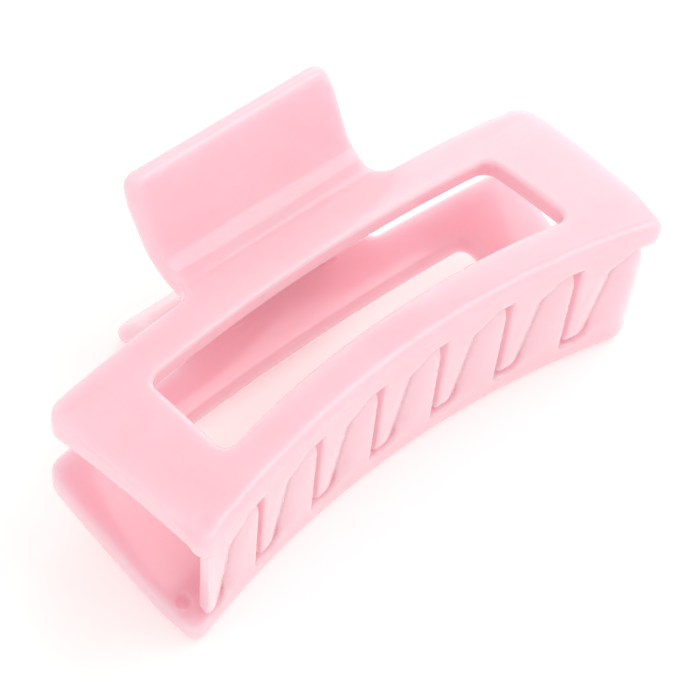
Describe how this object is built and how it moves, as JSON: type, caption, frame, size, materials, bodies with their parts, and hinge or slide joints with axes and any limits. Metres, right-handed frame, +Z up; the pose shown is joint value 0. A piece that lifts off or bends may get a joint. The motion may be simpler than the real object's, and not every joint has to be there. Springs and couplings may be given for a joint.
{
  "type": "claw clip",
  "caption": "Large rectangular claw hair clip with windowed jaws, interlocking leaning teeth, flared finger grips and a sprung hinge.",
  "frame": {"origin": "on the surface that the closed clip rests on, under the middle of its bounding box", "axes": "+X along the clip, towards the end whose last front tooth is on the lower jaw; +Y from the toothed front to the finger grips; +Z up. The clip lies on its lower jaw, touching at the two ends of the lower front ridge and the lower grip's tip, so its middle plane is tilted 6.3 degrees"},
  "size_m": [0.1104, 0.0651, 0.0498],
  "materials": {
    "pink_plastic": "gloss",
    "pin_steel": "satin",
    "spring_steel": "bright nickel"
  },
  "bodies": {
    "lower_body": {"lower_jaw": "pink_plastic", "hinge_pin": "pin_steel", "torsion_spring": "spring_steel"},
    "upper_body": {"upper_jaw": "pink_plastic"}
  },
  "joints": [
    {"name": "jaw_hinge", "type": "hinge", "parent": "lower_body", "child": "upper_body", "pos_m": [0, 0.01335, 0.02324], "axis": [-1, 0, 0], "range_deg": [0, 84], "stiffness_Nm_per_rad": 0.14, "springref_deg": -40.11, "deforming": ["torsion_spring"]}
  ]
}
